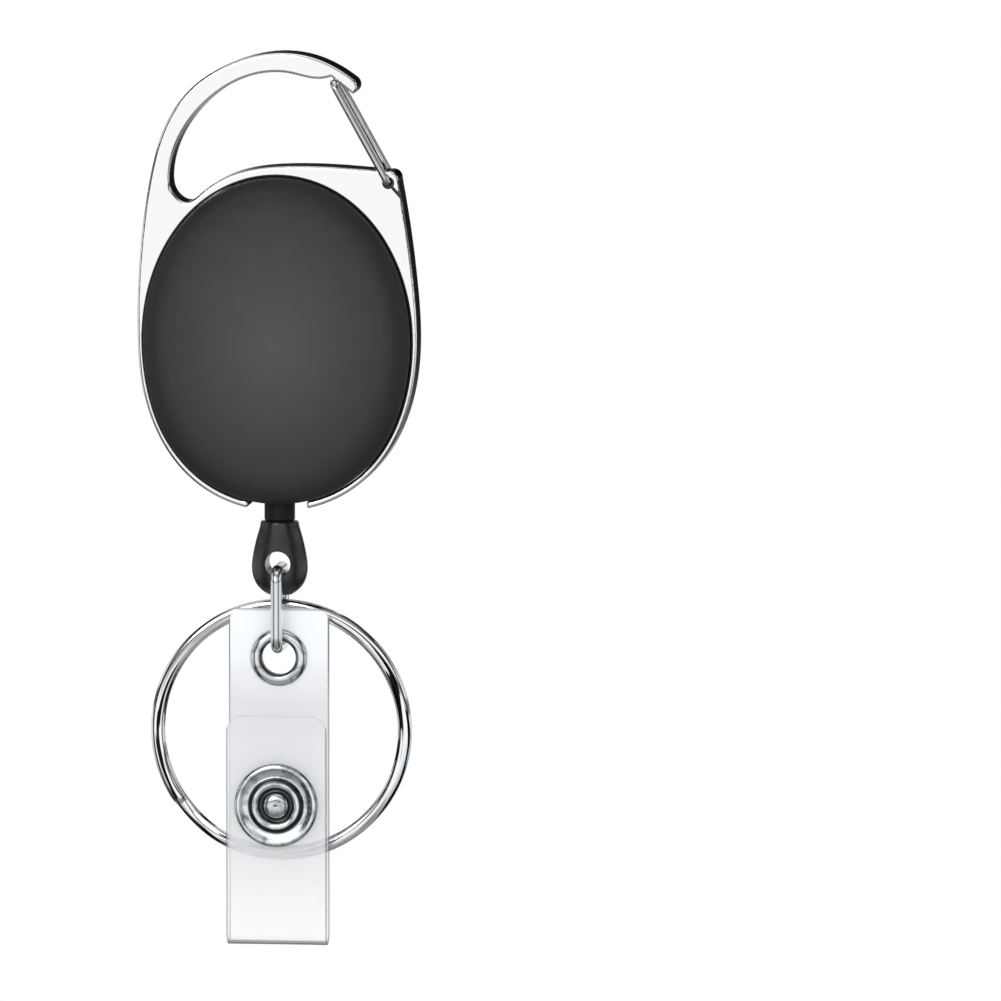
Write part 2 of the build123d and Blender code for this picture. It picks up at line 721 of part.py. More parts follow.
def key_ring():
    """Two flat coils of one wire, joined by a short ramp where the wire crosses from coil to coil."""
    half_lift = (RING_COIL_T + RING_COIL_GAP) / 2
    ramp_end = RING_CROSSING + RING_RAMP
    sweep_arc = 360 - RING_RAMP - RING_END_GAP
    front_coil = revolve(ring_section(ramp_end + RING_END_GAP, -half_lift), Axis.Y, revolution_arc=sweep_arc)
    rear_coil = revolve(ring_section(ramp_end, half_lift), Axis.Y, revolution_arc=sweep_arc)
    rungs = []
    for part in (0, 0.25, 0.5, 0.75, 1):
        rise = half_lift * -cos(pi * part)
        rungs.append(ring_section(RING_CROSSING + RING_RAMP * part, rise))
    ring = front_coil + loft(rungs) + rear_coil
    return Pos(0, RING_Y, RING_TOP_Z - RING_OD / 2) * ring


def clip_plan():
    """The clip's outline from behind: slightly tapered, with a shallow rounded tip."""
    top = CLIP_BEND_Z + 3
    low = CLIP_TIP[1] + CLIP_TIP_RISE
    half = CLIP_W / 2
    tip_half = CLIP_TIP_W / 2
    left = [(-tip_half, low), (-half, CLIP_BEND_Z), (-half, top)]
    right = [(half, top), (half, CLIP_BEND_Z), (tip_half, low)]
    tip = ThreePointArc((tip_half, low), (0, CLIP_TIP[1]), (-tip_half, low))
    return make_face([Polyline(*left, *right), tip])


def clip_bend_y():
    return CLIP_LEG_Y + CLIP_BEND_R


def clip_anchor():
    """The belt clip's fixed leg and half its bend, held in the rear shell's pocket."""
    line = Line((CLIP_LEG_Y, CLIP_LEG_Z), (CLIP_LEG_Y, CLIP_BEND_Z))
    line += CenterArc((clip_bend_y(), CLIP_BEND_Z), CLIP_BEND_R, 180, -90 + CLIP_SPLIT)
    return extrude(Plane.YZ * trace(line, CLIP_T), amount=CLIP_W / 2, both=True)


def belt_clip():
    """The belt clip's springing leg: half the bend, the leg, its crease and its flared tip."""
    outer_y = clip_bend_y() + CLIP_BEND_R
    bend = CenterArc((clip_bend_y(), CLIP_BEND_Z), CLIP_BEND_R, 90 - CLIP_SPLIT, -90 + CLIP_SPLIT)
    leg = FilletPolyline((outer_y, CLIP_BEND_Z), CLIP_CREASE, CLIP_TIP, radius=CLIP_CREASE_R)
    strip = extrude(Plane.YZ * (trace(bend, CLIP_T) + trace(leg, CLIP_T)), amount=CLIP_W / 2, both=True)
    return strip & slab(clip_plan(), 0, 12)


# ---------------------------------------------------------------- write the sub-parts

NODES = [
    carabiner_frame,
    front_shell,
    rear_shell,
    spring_arbor,
    power_spring,
    cord_guide,
    clip_anchor,
    wire_gate,
    spool_drum,
    spring_cover,
    cord_winding,
    cord_lead,
    cord_knot,
    cord_end_fitting,
    connecting_link,
    strap_back,
    strap_eyelet,
    eyelet_washer,
    snap_stud,
    snap_post,
    strap_flap,
    snap_socket,
    snap_cap,
    key_ring,
    belt_clip,
]

os.makedirs("parts", exist_ok=True)
for node in NODES:
    export_step(node(), f"parts/{node.__name__}.step")
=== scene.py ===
"""The badge reel's look on its CAD frame: materials, soft and bent pieces, light and camera, in metres."""

import json
from math import cos, pi, radians, sin, sqrt

import bmesh
import bpy
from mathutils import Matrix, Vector


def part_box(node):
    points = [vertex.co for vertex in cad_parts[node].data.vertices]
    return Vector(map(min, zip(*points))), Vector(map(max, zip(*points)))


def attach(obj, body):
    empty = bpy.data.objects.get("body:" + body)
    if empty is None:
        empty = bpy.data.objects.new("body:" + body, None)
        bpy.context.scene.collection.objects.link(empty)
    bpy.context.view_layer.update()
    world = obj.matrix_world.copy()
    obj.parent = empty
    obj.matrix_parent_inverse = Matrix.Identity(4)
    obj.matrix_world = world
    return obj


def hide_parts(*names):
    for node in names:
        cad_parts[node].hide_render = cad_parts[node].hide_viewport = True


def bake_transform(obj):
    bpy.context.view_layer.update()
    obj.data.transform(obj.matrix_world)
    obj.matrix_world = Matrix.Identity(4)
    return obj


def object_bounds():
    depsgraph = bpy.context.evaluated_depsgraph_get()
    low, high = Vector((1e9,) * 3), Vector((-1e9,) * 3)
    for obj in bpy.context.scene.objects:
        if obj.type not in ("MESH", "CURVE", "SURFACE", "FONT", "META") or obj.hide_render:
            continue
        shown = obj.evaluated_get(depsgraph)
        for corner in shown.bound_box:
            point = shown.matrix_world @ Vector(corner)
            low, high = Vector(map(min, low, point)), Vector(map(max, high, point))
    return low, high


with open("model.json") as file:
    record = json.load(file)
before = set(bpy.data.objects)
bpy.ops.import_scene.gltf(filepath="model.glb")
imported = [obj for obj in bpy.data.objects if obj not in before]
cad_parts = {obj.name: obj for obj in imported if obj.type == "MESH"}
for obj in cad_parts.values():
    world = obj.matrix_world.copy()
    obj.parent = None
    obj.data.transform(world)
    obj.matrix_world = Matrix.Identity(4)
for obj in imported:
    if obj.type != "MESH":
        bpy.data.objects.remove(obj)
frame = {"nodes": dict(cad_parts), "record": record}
cad_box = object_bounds()
nodes = frame["nodes"]

MM = 0.001

# ---------------------------------------------------------------- places read from the frame

BODY_LOW, BODY_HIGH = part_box("front_shell")
BODY_MID = (BODY_LOW + BODY_HIGH) / 2
BODY_HALF = (BODY_HIGH - BODY_LOW) / 2
BACK_LOW, BACK_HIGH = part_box("strap_back")
FLAP_LOW, FLAP_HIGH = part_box("strap_flap")
SNAP_LOW, SNAP_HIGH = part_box("snap_cap")
SNAP_MID = (SNAP_LOW + SNAP_HIGH) / 2
EYELET_LOW, EYELET_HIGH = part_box("strap_eyelet")
EYELET_MID = (EYELET_LOW + EYELET_HIGH) / 2
ANCHOR_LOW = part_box("clip_anchor")[0]
CLIP_LOW, CLIP_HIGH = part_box("belt_clip")
LEAD_LOW, LEAD_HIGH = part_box("cord_lead")
GATE_LOW, GATE_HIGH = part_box("wire_gate")
RING_LOW, RING_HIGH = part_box("key_ring")
RING_MID = (RING_LOW + RING_HIGH) / 2
FRAME_HALF_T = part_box("carabiner_frame")[1].y

# ---------------------------------------------------------------- sizes of the part's pieces

GATE_WIRE_R = 0.4 * MM
GATE_FOOT = Vector((GATE_HIGH.x - GATE_WIRE_R, 0, GATE_LOW.z + GATE_WIRE_R))
STRAP_T = 0.45 * MM
BACK_CORNER = 1.6 * MM
FLAP_CORNER = 1.8 * MM
EYELET_SEAT_R = 2.0 * MM    # the hole in the strap that the eyelet's barrel fills
CLIP_T = 0.5 * MM
CLIP_BEND_R = 0.9 * MM
CLIP_CORNER = 1.2 * MM
CORD_R = 0.375 * MM
CORD_BEND_R = 2.0 * MM
CORD_CORNER = Vector((0, 0, -47.6 * MM))        # where the cord's slanting and hanging lines would meet
LEAD_INSET = Vector((0.25 * MM, 0, 0.28 * MM))  # from its box's corner to the middle of its slanting end
RING_RADIAL = 1.5 * MM


def grey(value):
    """A grey of one brightness, as red, green and blue."""
    return (value, value, value)


WHITE = (1.0, 1.0, 1.0)
BLACK = (0.02, 0.02, 0.02)
SHEEN = (0.85, 0.86, 0.88)
PALE_BLUE = (0.66, 0.70, 0.76)


# ---------------------------------------------------------------- shader helpers


def colour_ramp(tree, value, stops):
    """The colour that a value has on a ramp of (place, colour) stops."""
    node = tree.nodes.new("ShaderNodeValToRGB")
    row = node.color_ramp.elements
    while len(row) < len(stops):
        row.new(0.5)
    for element, (place, colour) in zip(row, stops):
        element.position = place
        element.color = (*colour, 1)
    tree.links.new(value, node.inputs["Fac"])
    return node.outputs["Color"]


class Shader:
    """One material's node tree, with short calls for the nodes it needs."""

    def __init__(self, name):
        self.material = bpy.data.materials.new(name)
        self.material.use_nodes = True
        self.tree = self.material.node_tree
        self.surface = self.tree.nodes["Principled BSDF"]

    def set(self, **values):
        """Sets the surface's inputs to constants."""
        for key, value in values.items():
            self.surface.inputs[key.replace("_", " ")].default_value = value

    def feed(self, **sockets):
        """Links node outputs to the surface's inputs."""
        for key, socket in sockets.items():
            self.link(socket, self.surface.inputs[key.replace("_", " ")])

    def add(self, kind, **values):
        node = self.tree.nodes.new(kind)
        for key, value in values.items():
            if key in node.inputs:
                node.inputs[key].default_value = value
            else:
                setattr(node, key, value)
        return node

    def link(self, source, target):
        self.tree.links.new(source, target)

    def place(self):
        """Object coordinates, which are the frame's own, in metres."""
        return self.add("ShaderNodeTexCoord").outputs["Object"]

    def rest_place(self):
        """Each point's place at rest, as kept by keep_places, for a piece that bends."""
        return self.add("ShaderNodeAttribute", attribute_name="rest_place").outputs["Vector"]

    def stretched(self, scale):
        """Object coordinates scaled per axis."""
        node = self.add("ShaderNodeMapping")
        node.inputs["Scale"].default_value = scale
        self.link(self.place(), node.inputs["Vector"])
        return node.outputs["Vector"]

    def noise(self, scale, detail, vector=None, roughness=0.5):
        node = self.add("ShaderNodeTexNoise", Scale=scale, Detail=detail, Roughness=roughness)
        self.link(vector or self.place(), node.inputs["Vector"])
        return node.outputs["Fac"]

    def math(self, operation, a, b=None, clamp=False):
        node = self.add("ShaderNodeMath", operation=operation, use_clamp=clamp)
        for value, socket in zip((a, b), node.inputs):
            if value is None:
                continue
            if isinstance(value, (int, float)):
                socket.default_value = value
            else:
                self.link(value, socket)
        return node.outputs[0]

    def distance(self, across, along):
        """The distance that two offsets at right angles make."""
        squares = [self.math("POWER", offset, 2.0) for offset in (across, along)]
        return self.math("SQRT", self.math("ADD", *squares))

    def offsets(self, spot, middle):
        """How far a place lies across and above a middle."""
        return self.math("SUBTRACT", spot[0], middle.x), self.math("SUBTRACT", spot[2], middle.z)

    def spread(self, value, low, high, out_low, out_high):
        """value's range low to high mapped onto out_low to out_high."""
        node = self.add("ShaderNodeMapRange")
        for key, number in (("From Min", low), ("From Max", high), ("To Min", out_low), ("To Max", out_high)):
            node.inputs[key].default_value = number
        self.link(value, node.inputs["Value"])
        return node.outputs["Result"]

    def varied(self, scale, detail, low, high):
        """A value that drifts from low to high over the surface."""
        return self.spread(self.noise(scale, detail), 0.3, 0.7, low, high)

    def ramp(self, value, stops):
        return colour_ramp(self.tree, value, stops)

    def two_tone(self, value, dark, light):
        """A noise value turned into a colour from dark to light."""
        return self.ramp(value, [(0.3, dark), (0.7, light)])

    def multiplied(self, colour, shade, factor=1.0):
        """A colour darkened by a shade."""
        node = self.add("ShaderNodeMix", data_type="RGBA", blend_type="MULTIPLY")
        node.inputs["Factor"].default_value = factor
        self.link(colour, node.inputs[6])
        self.link(shade, node.inputs[7])
        return node.outputs[2]

    def bump(self, height, distance, strength=1.0):
        node = self.add("ShaderNodeBump", Strength=strength, Distance=distance)
        self.link(height, node.inputs["Height"])
        self.feed(Normal=node.outputs["Normal"])

    def split(self, vector):
        node = self.add("ShaderNodeSeparateXYZ")
        self.link(vector, node.inputs[0])
        return node.outputs

    def facing_y(self):
        """How far a surface faces the front or the back: 1 on a flat face, 0 on a side wall."""
        normal = self.split(self.add("ShaderNodeTexCoord").outputs["Normal"])
        return self.math("ABSOLUTE", normal[1])


# ---------------------------------------------------------------- materials

# painted sheen and shade: how bright the body is by distance from its middle, 1 at its edge, lighter in the
# dome's middle and darker towards its rim
BODY_PAINTED_SHEEN_AND_SHADE = [
    (0.0, grey(0.062)), (0.45, grey(0.044)), (0.8, grey(0.028)), (0.9, grey(0.017)), (1.0, grey(0.014)),
]
# the vinyl's colour and cover, by height from the strap's fold to its top
VINYL_MILK = [
    (0.0, grey(0.85)), (0.35, (0.71, 0.72, 0.74)), (0.6, (0.74, 0.75, 0.78)), (0.72, (0.66, 0.67, 0.69)),
    (0.85, (0.84, 0.86, 0.89)), (1.0, (0.9, 0.92, 0.95)),
]
VINYL_COVER = [
    (0.0, grey(0.12)), (0.2, grey(0.3)), (0.6, grey(0.42)), (0.75, grey(0.52)), (0.86, grey(0.8)),
    (1.0, grey(0.86)),
]
# painted shade along the strap's cut edges, top edge and fold
VINYL_EDGE_SHADE = (0.14, 0.15, 0.17, 1)
# painted shade in the snap's grooves and round its middle: how bright the nickel is by distance from the
# snap's middle, 1 at SNAP_REACH
SNAP_REACH = 5.0 * MM
SNAP_PAINTED_SHADE = [
    (0.0, grey(0.6)), (0.1, grey(0.8)), (0.25, grey(0.8)), (0.3, grey(0.08)), (0.385, grey(0.08)),
    (0.42, grey(0.95)), (0.52, grey(0.95)), (0.55, grey(0.07)), (0.62, grey(0.07)), (0.65, grey(0.9)),
    (0.72, grey(1.0)), (0.8, grey(1.0)), (0.835, grey(0.4)), (0.86, grey(1.0)), (0.92, grey(1.0)),
    (0.945, grey(0.25)), (0.96, grey(0.25)), (1.0, grey(1.0)),
]
# painted shade inside the eyelet's bore and along its flange's outer edge: how bright the nickel is by
# distance from the eyelet's middle, 1 at EYELET_REACH
EYELET_REACH = 4.0 * MM
EYELET_PAINTED_SHADE = [
    (0.0, grey(0.12)), (0.51, grey(0.12)), (0.56, grey(0.5)), (0.62, grey(0.95)), (0.74, grey(1.0)),
    (0.79, grey(0.7)), (0.82, grey(0.4)), (0.84, grey(1.0)), (1.0, grey(1.0)),
]
# painted reflections on the key ring's wire: near-black and white streaks set by drawn_wire's noise
RING_PAINTED_REFLECTIONS = [
    (0.36, grey(0.005)), (0.43, grey(0.02)), (0.45, grey(1.0)), (0.62, grey(1.0)), (0.66, grey(0.5)),
]


def chrome_plate():
    """Bright plate with no pale rim at grazing angles, with shade painted dark into its base colour only in
    the sunk seat round the gate's foot.
    """
    s = Shader("chrome_plate")
    s.set(Metallic=1.0, Specular_Tint=(0.0, 0.0, 0.0, 1))
    spot = s.split(s.place())
    # painted shade: the base colour goes dark in the sunk seat round the gate's foot, where shade falls
    shade_near_foot = s.spread(s.distance(*s.offsets(spot, GATE_FOOT)), 2.4 * MM, 2.8 * MM, 1.0, 0.0)
    depth = s.math("ABSOLUTE", spot[1])
    shade_in_seat = s.spread(depth, FRAME_HALF_T - 0.3 * MM, FRAME_HALF_T - 0.05 * MM, 1.0, 0.0)
    s.feed(Base_Color=s.spread(s.math("MULTIPLY", shade_near_foot, shade_in_seat), 0.0, 1.0, 0.97, 0.06))
    polish = s.spread(s.facing_y(), 0.6, 0.97, 0.11, 0.08)
    s.feed(Roughness=s.math("ADD", polish, s.varied(900, 4, -0.02, 0.02)))
    s.bump(s.noise(350, 5, s.stretched((1, 1, 0.2))), 0.004 * MM)
    return s.material


def black_abs():
    """Fine-grained black plastic, with a painted soft sheen in the middle of the dome and painted shade
    darkening it towards its rim.
    """
    s = Shader("black_abs")
    s.set(Specular_IOR_Level=0.3)
    across, along = s.offsets(s.split(s.place()), BODY_MID)
    reach = s.distance(s.math("DIVIDE", across, BODY_HALF.x), s.math("DIVIDE", along, BODY_HALF.z))
    mottle = s.two_tone(s.noise(260, 4), grey(0.8), grey(1.0))
    # the base colour carries a painted sheen in the dome's middle and painted shade towards its rim
    s.feed(Base_Color=s.multiplied(s.ramp(reach, BODY_PAINTED_SHEEN_AND_SHADE), mottle, 0.25),
           Roughness=s.varied(700, 3, 0.5, 0.62))
    s.bump(s.noise(9000, 2, roughness=0.6), 0.03 * MM, 0.35)
    return s.material


def dark_plastic(name, tone, roughness, shine):
    """Black moulded plastic of the small pieces."""
    s = Shader(name)
    s.set(Specular_IOR_Level=shine)
    s.feed(Base_Color=s.two_tone(s.noise(500, 4), grey(tone * 0.85), grey(tone * 1.15)),
           Roughness=s.varied(1500, 3, roughness - 0.05, roughness + 0.06))
    s.bump(s.noise(1600, 2), 0.002 * MM, 0.3)
    return s.material


def spool_plastic():
    """Pale plastic of the spool and its cover, which the body hides."""
    s = Shader("spool_plastic")
    tone = s.noise(1200, 3)
    colour = (0.72, 0.72, 0.7)
    s.feed(Base_Color=s.two_tone(tone, tuple(c * 0.88 for c in colour), colour),
           Roughness=s.spread(tone, 0.3, 0.7, 0.34, 0.46))
    s.bump(tone, 0.01 * MM)
    return s.material


def steel(name, colour, roughness, stretch, marks):
    """Bright or brushed metal whose marks run along the direction that stretch leaves long."""
    s = Shader(name)
    s.set(Metallic=1.0)
    lines = s.noise(1.0, 4, s.stretched(stretch))
    s.feed(Base_Color=s.two_tone(lines, tuple(c * 0.86 for c in colour), colour),
           Roughness=s.spread(lines, 0.25, 0.75, roughness * 0.8, roughness * 1.3))
    s.bump(lines, marks)
    return s.material


def clear_vinyl():
    """Clear vinyl whose colour and cover change with height, covering more towards the strap's top, with
    shade painted darker along its cut edges and fold.
    """
    s = Shader("clear_vinyl")
    s.set(Roughness=0.22)
    spot = s.split(s.rest_place())
    across = s.math("DIVIDE", s.math("ABSOLUTE", spot[0]), BACK_HIGH.x)
    height = s.spread(spot[2], BACK_LOW.z, BACK_HIGH.z, 0.0, 1.0)
    # painted shade: masks for the fold, the top edge and the sides, which tint the vinyl dark and make it
    # more covering there
    fold_shade = s.spread(height, 0.007, 0.011, 1.0, 0.0)
    top_shade = s.spread(height, 0.992, 0.996, 0.0, 0.5)
    side_shade = s.spread(across, 0.965, 0.985, 0.0, 1.0)
    edge_shade = s.math("MAXIMUM", s.math("MAXIMUM", side_shade, fold_shade), top_shade)
    tinted = s.add("ShaderNodeMix", data_type="RGBA")
    tinted.inputs[7].default_value = VINYL_EDGE_SHADE
    s.link(edge_shade, tinted.inputs["Factor"])
    s.link(s.ramp(height, VINYL_MILK), tinted.inputs[6])
    shaded_edge_cover = s.math("MAXIMUM", s.math("MULTIPLY", edge_shade, 0.5), s.math("MULTIPLY", fold_shade, 0.85))
    s.feed(Base_Color=tinted.outputs[2], Alpha=s.math("MAXIMUM", s.ramp(height, VINYL_COVER), shaded_edge_cover))
    s.bump(s.noise(120, 2, s.rest_place()), 0.1 * MM, 0.3)
    return s.material


def pressed_nickel():
    """Pressed nickel, with shade painted dark in the snap's grooves, round its middle and round the eyelet's
    hole.
    """
    s = Shader("nickel")
    s.set(Metallic=1.0)
    spot = s.split(s.place())
    # painted shade: rings of dark base colour by distance from the snap's and the eyelet's middles
    painted_shade_rings = []
    rounds = ((SNAP_MID, SNAP_REACH, SNAP_PAINTED_SHADE), (EYELET_MID, EYELET_REACH, EYELET_PAINTED_SHADE))
    for middle, reach, stops in rounds:
        away = s.distance(*s.offsets(spot, middle))
        painted_shade_rings.append(s.ramp(s.math("DIVIDE", away, reach, clamp=True), stops))
    cloud = s.ramp(s.noise(900, 4), [(0.34, (0.5, 0.56, 0.57)), (0.5, (0.94, 0.99, 1.0))])
    s.feed(Base_Color=s.multiplied(s.multiplied(*painted_shade_rings), cloud), Roughness=s.varied(1800, 3, 0.16, 0.26))
    s.bump(s.noise(900, 3), 0.008 * MM)
    return s.material


def drawn_wire():
    """The key ring's bright wire, with painted reflections: dark and light streaks that run along it."""
    s = Shader("ring_steel")
    s.set(Metallic=1.0)
    spot = s.split(s.place())
    across, along = s.offsets(spot, RING_MID)
    way = s.add("ShaderNodeCombineXYZ")
    s.link(s.math("MULTIPLY", s.math("ARCTAN2", across, along), 1.1), way.inputs["X"])
    s.link(s.math("MULTIPLY", s.distance(across, along), 2200.0), way.inputs["Y"])
    s.link(s.math("MULTIPLY", spot[1], 900.0), way.inputs["Z"])
    # painted reflection: base colour streaks that stand for the studio's bands mirrored in the wire
    reflection_streaks = s.noise(1.0, 2, way.outputs["Vector"])
    s.feed(Base_Color=s.ramp(reflection_streaks, RING_PAINTED_REFLECTIONS), Roughness=s.varied(1500, 3, 0.05, 0.1))
    s.bump(reflection_streaks, 0.006 * MM)
    return s.material


def cord_weave():
    """Black nylon cord with a slanting weave."""
    s = Shader("nylon_cord")
    s.set(Roughness=0.75)
    weave = s.add("ShaderNodeTexWave", Scale=900.0, Distortion=1.5, bands_direction="DIAGONAL")
    s.link(s.place(), weave.inputs["Vector"])
    s.feed(Base_Color=s.ramp(weave.outputs["Fac"], [(0.2, grey(0.012)), (0.8, grey(0.05))]))
    s.bump(weave.outputs["Fac"], 0.05 * MM)
    return s.material


FINISH = {
    "chrome_plate": chrome_plate(),
    "black_abs": black_abs(),
    "turned_steel": steel("turned_steel", (0.6, 0.6, 0.61), 0.3, (4000, 400, 4000), 0.004 * MM),
    "spring_steel": steel("spring_steel", (0.4, 0.42, 0.46), 0.3, (400, 5000, 400), 0.004 * MM),
    "guide_plastic": dark_plastic("guide_plastic", 0.006, 0.5, 0.22),
    "clip_steel": steel("clip_steel", (0.78, 0.8, 0.83), 0.2, (300, 300, 20000), 0.002 * MM),
    "gate_wire": steel("gate_wire", (0.82, 0.83, 0.84), 0.14, (3000, 3000, 300), 0.003 * MM),
    "spool_plastic": spool_plastic(),
    "nylon_cord": cord_weave(),
    "fitting_plastic": dark_plastic("fitting_plastic", 0.011, 0.24, 0.7),
    "link_wire": steel("link_wire", (0.92, 0.95, 0.95), 0.2, (3000, 3000, 200), 0.004 * MM),
    "clear_vinyl": clear_vinyl(),
    "nickel": pressed_nickel(),
    "ring_steel": drawn_wire(),
}


def finish_cad_nodes():
    """Gives every CAD node its procedural finish."""
    for part in frame["record"]["subparts"]:
        node = nodes[part["node"]]
        node.data.materials.clear()
        node.data.materials.append(FINISH[part["material_slot"]])


finish_cad_nodes()


# ---------------------------------------------------------------- mesh helpers

SAME_PLACE = 1e-7       # stations closer than this are one
ROUNDING = 1e-9


def add_piece(name, shape, slot):
    """Puts a bmesh into the scene as one smooth piece with its finish."""
    bmesh.ops.recalc_face_normals(shape, faces=shape.faces[:])
    mesh = bpy.data.meshes.new(name)
    for face in shape.faces:
        face.smooth = True
    shape.to_mesh(mesh)
    shape.free()
    mesh.materials.append(FINISH[slot])
    piece = bpy.data.objects.new(name, mesh)
    bpy.context.scene.collection.objects.link(piece)
    return piece


def loft(rings, close_loop=False):
    """A skin over closed rings of points, all of one length, with flat ends or closed in a loop."""
    shape = bmesh.new()
    rows = [[shape.verts.new(p) for p in ring] for ring in rings]
    pairs = list(zip(rows, rows[1:]))
    if close_loop:
        pairs.append((rows[-1], rows[0]))
    for a, b in pairs:
        for i in range(len(a)):
            j = (i + 1) % len(a)
            shape.faces.new((a[i], a[j], b[j], b[i]))
    if not close_loop:
        shape.faces.new(rows[0])
        shape.faces.new(rows[-1])
    return shape


def turned(profile, centre):
    """A turned shape about a Y axis through centre, from a closed list of (radius, y) points."""
    steps = 128
    rings = []
    for i in range(steps):
        turn = 2 * pi * i / steps
        rings.append([(centre[0] + r * cos(turn), y, centre[2] + r * sin(turn)) for r, y in profile])
    return loft(rings, close_loop=True)


def rounded_bar(half_w, half_t, corner, columns):
    """A rounded rectangle's outline as (across, through) points, anticlockwise."""
    steps = 3
    points = []
    for sign_w, sign_t, turn in ((1, 1, 0), (-1, 1, 90), (-1, -1, 180), (1, -1, 270)):
        for i in range(steps + 1):
            a = radians(turn + 90 * i / steps)
            across = sign_w * (half_w - corner) + corner * cos(a)
            points.append((across, sign_t * (half_t - corner) + corner * sin(a)))
        if turn in (0, 180):
            for i in range(1, columns):
                across = sign_w * (half_w - corner) * (1 - 2 * i / columns)
                points.append((across, sign_t * half_t))
    return points


def line_stations(run, spacing, start, end):
    """Stations along a straight (y, z) stretch that begins at the distance run, and the stretch's length."""
    (y0, z0), (y1, z1) = start, end
    length = sqrt((y1 - y0) ** 2 + (z1 - z0) ** 2)
    normal = ((z1 - z0) / length, -(y1 - y0) / length)
    count = max(2, int(length / spacing))
    parts = [i / count for i in range(count + 1)]
    return [(run + t * length, (y0 + (y1 - y0) * t, z0 + (z1 - z0) * t), normal) for t in parts], length


def arc_stations(run, centre, radius, start, sweep):
    """Stations round a (y, z) arc, in degrees, that begins at the distance run, and the arc's length."""
    length = abs(radians(sweep)) * radius
    count = max(12, int(abs(sweep) / 6))
    side = 1 if sweep > 0 else -1
    stations = []
    for i in range(count + 1):
        a = radians(start + sweep * i / count)
        point = (centre[0] + radius * cos(a), centre[1] + radius * sin(a))
        stations.append((run + length * i / count, point, (side * cos(a), side * sin(a))))
    return stations, length


def along_path(path, spacing):
    """Stations (distance, point, normal) along a (y, z) path of lines and arcs, and the path's length."""
    stations = []
    run = 0.0
    for kind, *facts in path:
        if kind == "line":
            stretch, length = line_stations(run, spacing, *facts)
        else:
            stretch, length = arc_stations(run, *facts)
        stations += stretch
        run += length
    kept = [stations[0]]
    for station in stations[1:]:
        if station[0] - kept[-1][0] > SAME_PLACE:
            kept.append(station)
    return kept, run


def with_extra(stations, extra):
    """The stations of a path with more of them at the extra distances."""
    fine = []
    for run in sorted({round(station[0], 9) for station in stations} | {round(e, 9) for e in extra}):
        for (r0, p0, n0), (r1, p1, n1) in zip(stations, stations[1:]):
            if r0 <= run <= r1 + ROUNDING:
                t = min(1.0, (run - r0) / (r1 - r0))
                point = tuple(a + (b - a) * t for a, b in zip(p0, p1))
                fine.append((run, point, n0 if t < 0.5 else n1))
                break
    return fine


def corner_width(half_w, corner, distance):
    """Half the width of a strip whose end corners are rounded, at a distance from its end."""
    if distance >= corner:
        return half_w
    rise = corner - distance
    return half_w - corner + sqrt(max(0.0, corner * corner - rise * rise))


def keep_places(piece):
    """Stores each point's place at rest, so that a finish stays with its piece when the piece bends."""
    places = piece.data.attributes.new("rest_place", "FLOAT_VECTOR", "POINT")
    places.data.foreach_set("vector", [c for vertex in piece.data.vertices for c in vertex.co])


def drilled(piece, radius, centre):
    """Cuts a round hole along Y through a piece."""
    bpy.ops.mesh.primitive_cylinder_add(vertices=96, radius=radius, depth=20 * MM, location=centre,
                                        rotation=(pi / 2, 0, 0))
    cutter = bpy.context.active_object
    cut = piece.modifiers.new("hole", "BOOLEAN")
    cut.object = cutter
    cut.solver = "EXACT"
    graph = bpy.context.evaluated_depsgraph_get()
    mesh = bpy.data.meshes.new_from_object(piece.evaluated_get(graph))
    piece.modifiers.clear()
    piece.data = mesh
    bpy.data.objects.remove(cutter)


# ---------------------------------------------------------------- badge strap


def corner_stations(corner, end, way):
    """Distances that follow a rounded corner closely, from a strip's end inwards."""
    first = 0.004 * MM
    return [end + way * corner * (1 - cos(pi / 2 * i / 12)) + way * first for i in range(12)]


def badge_strap():
    """One folded strip of soft vinyl: the back up to the eyelet, and the flap up in front of it."""
    half_w = (BACK_HIGH.x - BACK_LOW.x) / 2
    back_y = BACK_HIGH.y - STRAP_T / 2
    flap_y = FLAP_LOW.y + STRAP_T / 2
    fold_r = (back_y - flap_y) / 2
    fold_y = (back_y + flap_y) / 2
    fold_z = BACK_LOW.z + STRAP_T / 2 + fold_r
    path = [
        ("line", (back_y, BACK_HIGH.z), (back_y, fold_z)),
        ("arc", (fold_y, fold_z), fold_r, 0, -180),
        ("line", (flap_y, fold_z), (flap_y, FLAP_HIGH.z)),
    ]
    stations, length = along_path(path, 0.8 * MM)
    extra = corner_stations(BACK_CORNER, 0.0, 1) + corner_stations(FLAP_CORNER, length, -1)
    edge = 0.12 * MM
    ripple = 0.02 * MM
    rings = []
    for run, (y, z), (ny, nz) in with_extra(stations, extra):
        width = min(corner_width(half_w, BACK_CORNER, run), corner_width(half_w, FLAP_CORNER, length - run))
        pinch = 0.7 if min(run, length - run) < 0.03 * MM else 1.0
        ring = []
        for across, through in rounded_bar(width, STRAP_T / 2 * pinch, edge * pinch, columns=14):
            wave = ripple * sin(across / half_w * 2.2 + run * 260) * sin(run * 410)
            ring.append((across, y + (through + wave) * ny, z + (through + wave) * nz))
        rings.append(ring)
    strap = add_piece("badge_strap", loft(rings), "clear_vinyl")
    drilled(strap, EYELET_SEAT_R, EYELET_MID)
    for face in strap.data.polygons:
        face.use_smooth = True
    keep_places(strap)
    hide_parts("strap_back", "strap_flap")
    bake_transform(strap)


# ---------------------------------------------------------------- belt clip


def round_tip(clip, half_w, tip, lean, rear_y):
    """Rounds the corners of the clip's tip by lifting its low points along the tip's slope."""
    low = tip[1] + CLIP_CORNER
    for vertex in clip.data.vertices:
        if vertex.co.z < low and vertex.co.y > rear_y:
            lift = CLIP_CORNER * (vertex.co.x / half_w) ** 2
            part = (low - vertex.co.z) / CLIP_CORNER
            vertex.co.z += lift * part
            vertex.co.y -= lift * part * lean


